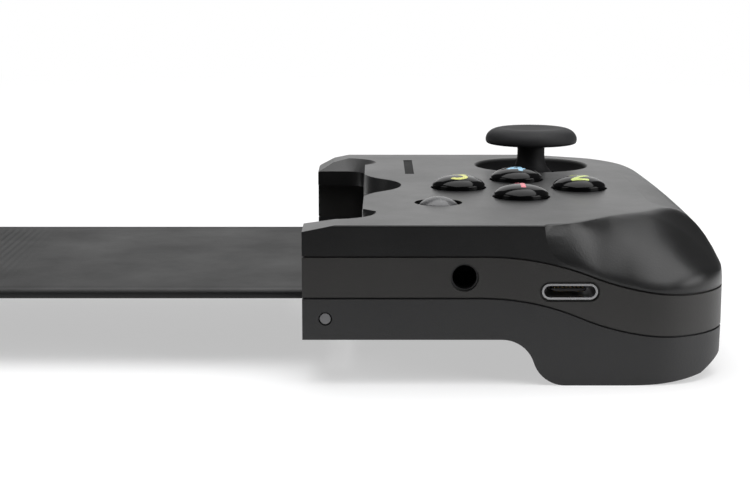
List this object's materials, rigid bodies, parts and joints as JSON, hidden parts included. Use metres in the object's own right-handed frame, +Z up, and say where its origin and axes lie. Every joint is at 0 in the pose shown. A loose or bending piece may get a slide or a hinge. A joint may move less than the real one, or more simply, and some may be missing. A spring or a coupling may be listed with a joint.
{
  "type": "mobile game controller",
  "caption": "Clip-on phone game controller: two grips with sticks, keys, bumpers and triggers, joined behind the phone by a thin folding strap.",
  "frame": {"origin": "on the surface the controller stands on, below the middle of the strap and midway between the near and far faces of the grips", "axes": "+X from the left grip to the right grip, +Y away from the player, +Z up out of the keys"},
  "size_m": [0.24, 0.0893, 0.0315],
  "materials": {
    "shell": "satin",
    "band": "satin",
    "sole": "matte",
    "board": "satin",
    "rubber": "matte",
    "mat": "matte",
    "lens": "gloss",
    "key": "gloss",
    "silver_key": "satin",
    "steel": "satin",
    "white_plastic": "satin",
    "black_plastic": "satin",
    "strap": "matte",
    "flex": "satin"
  },
  "bodies": {
    "right_grip": {"right_top_shell": "shell", "right_mid_band": "band", "right_bottom_shell": "sole", "right_main_board": "board", "right_button_board": "board", "right_membrane": "mat", "indicator_lens": "lens", "phone_plug": "white_plastic", "headphone_jack": "black_plastic", "charge_port": "steel", "right_cradle_pad": "rubber", "right_hinge_pin": "steel", "right_case_screws": "steel", "right_stick_module": "black_plastic", "right_trigger_pin": "steel"},
    "left_grip": {"left_top_shell": "shell", "left_mid_band": "band", "left_bottom_shell": "sole", "left_main_board": "board", "left_button_board": "board", "left_membrane": "mat", "left_cradle_pad": "rubber", "left_hinge_pin": "steel", "left_case_screws": "steel", "left_stick_module": "black_plastic", "left_trigger_pin": "steel"},
    "right_strap": {"right_end_leaf": "black_plastic", "right_strap_half": "strap", "right_flex": "flex"},
    "left_strap": {"left_end_leaf": "black_plastic", "left_strap_half": "strap", "left_flex": "flex"},
    "right_gimbal": {"right_stick_gimbal": "white_plastic"},
    "left_gimbal": {"left_stick_gimbal": "white_plastic"},
    "right_stick": {"right_stick_stem": "black_plastic", "right_stick_cap": "rubber"},
    "left_stick": {"left_stick_stem": "black_plastic", "left_stick_cap": "rubber"},
    "near_key": {"near_button": "key"},
    "far_key": {"far_button": "key"},
    "left_key": {"left_button": "key"},
    "right_key": {"right_button": "key"},
    "right_small_key": {"right_small_button": "silver_key"},
    "left_small_key": {"left_small_button": "silver_key"},
    "right_shoulder": {"right_bumper": "key"},
    "left_shoulder": {"left_bumper": "key"},
    "right_trigger_lever": {"right_trigger": "key"},
    "left_trigger_lever": {"left_trigger": "key"},
    "pad_ball": {"d_pad_fulcrum": "steel"},
    "pad_key": {"d_pad": "key"}
  },
  "joints": [
    {"name": "right_strap_hinge", "type": "hinge", "parent": "right_grip", "child": "right_strap", "pos_m": [0.0589, 0, 0.0101], "axis": [0, -1, 0], "range_deg": [0, 86]},
    {"name": "strap_fold", "type": "hinge", "parent": "right_strap", "child": "left_strap", "pos_m": [0, 0, 0.01195], "axis": [0, 1, 0], "range_deg": [0, 172], "stiffness_Nm_per_rad": 0.1},
    {"name": "left_strap_hinge", "type": "hinge", "parent": "left_strap", "child": "left_grip", "pos_m": [-0.0589, 0, 0.0101], "axis": [0, -1, 0], "range_deg": [0, 86]},
    {"name": "right_stick_near_far", "type": "hinge", "parent": "right_grip", "child": "right_gimbal", "pos_m": [0.0951, 0.0265, 0.0154], "axis": [1, 0, 0], "range_deg": [-14, 14], "stiffness_Nm_per_rad": 0.04},
    {"name": "right_stick_left_right", "type": "hinge", "parent": "right_gimbal", "child": "right_stick", "pos_m": [0.0951, 0.0265, 0.0154], "axis": [0, 1, 0], "range_deg": [-14, 14], "stiffness_Nm_per_rad": 0.04},
    {"name": "right_small_press", "type": "slide", "parent": "right_grip", "child": "right_small_key", "axis": [0, 0, -1], "range_m": [0, 0.0006], "stiffness_N_per_m": 600},
    {"name": "right_bumper_press", "type": "slide", "parent": "right_grip", "child": "right_shoulder", "axis": [0, -1, 0], "range_m": [0, 0.0008], "stiffness_N_per_m": 600},
    {"name": "right_trigger_pull", "type": "hinge", "parent": "right_grip", "child": "right_trigger_lever", "pos_m": [0.0945, 0.0374, 0.0114], "axis": [-1, 0, 0], "range_deg": [0, 15], "stiffness_Nm_per_rad": 0.08},
    {"name": "left_stick_near_far", "type": "hinge", "parent": "left_grip", "child": "left_gimbal", "pos_m": [-0.0951, 0.0265, 0.0154], "axis": [1, 0, 0], "range_deg": [-14, 14], "stiffness_Nm_per_rad": 0.04},
    {"name": "left_stick_left_right", "type": "hinge", "parent": "left_gimbal", "child": "left_stick", "pos_m": [-0.0951, 0.0265, 0.0154], "axis": [0, 1, 0], "range_deg": [-14, 14], "stiffness_Nm_per_rad": 0.04},
    {"name": "left_small_press", "type": "slide", "parent": "left_grip", "child": "left_small_key", "axis": [0, 0, -1], "range_m": [0, 0.0006], "stiffness_N_per_m": 600},
    {"name": "left_bumper_press", "type": "slide", "parent": "left_grip", "child": "left_shoulder", "axis": [0, -1, 0], "range_m": [0, 0.0008], "stiffness_N_per_m": 600},
    {"name": "left_trigger_pull", "type": "hinge", "parent": "left_grip", "child": "left_trigger_lever", "pos_m": [-0.0945, 0.0374, 0.0114], "axis": [-1, 0, 0], "range_deg": [0, 15], "stiffness_Nm_per_rad": 0.08},
    {"name": "near_button_press", "type": "slide", "parent": "right_grip", "child": "near_key", "axis": [0, 0, -1], "range_m": [0, 0.0013], "stiffness_N_per_m": 450},
    {"name": "far_button_press", "type": "slide", "parent": "right_grip", "child": "far_key", "axis": [0, 0, -1], "range_m": [0, 0.0013], "stiffness_N_per_m": 450},
    {"name": "left_button_press", "type": "slide", "parent": "right_grip", "child": "left_key", "axis": [0, 0, -1], "range_m": [0, 0.0013], "stiffness_N_per_m": 450},
    {"name": "right_button_press", "type": "slide", "parent": "right_grip", "child": "right_key", "axis": [0, 0, -1], "range_m": [0, 0.0013], "stiffness_N_per_m": 450},
    {"name": "pad_rock_left_right", "type": "hinge", "parent": "left_grip", "child": "pad_ball", "pos_m": [-0.0904, -0.0033, 0.0185], "axis": [0, 1, 0], "range_deg": [-4.5, 4.5], "stiffness_Nm_per_rad": 0.05},
    {"name": "pad_rock_near_far", "type": "hinge", "parent": "pad_ball", "child": "pad_key", "pos_m": [-0.0904, -0.0033, 0.0185], "axis": [1, 0, 0], "range_deg": [-4.5, 4.5], "stiffness_Nm_per_rad": 0.05}
  ],
  "couplings": [
    {"joint": "strap_fold", "follows": "right_strap_hinge", "ratio": 2},
    {"joint": "left_strap_hinge", "follows": "right_strap_hinge", "ratio": 1}
  ]
}
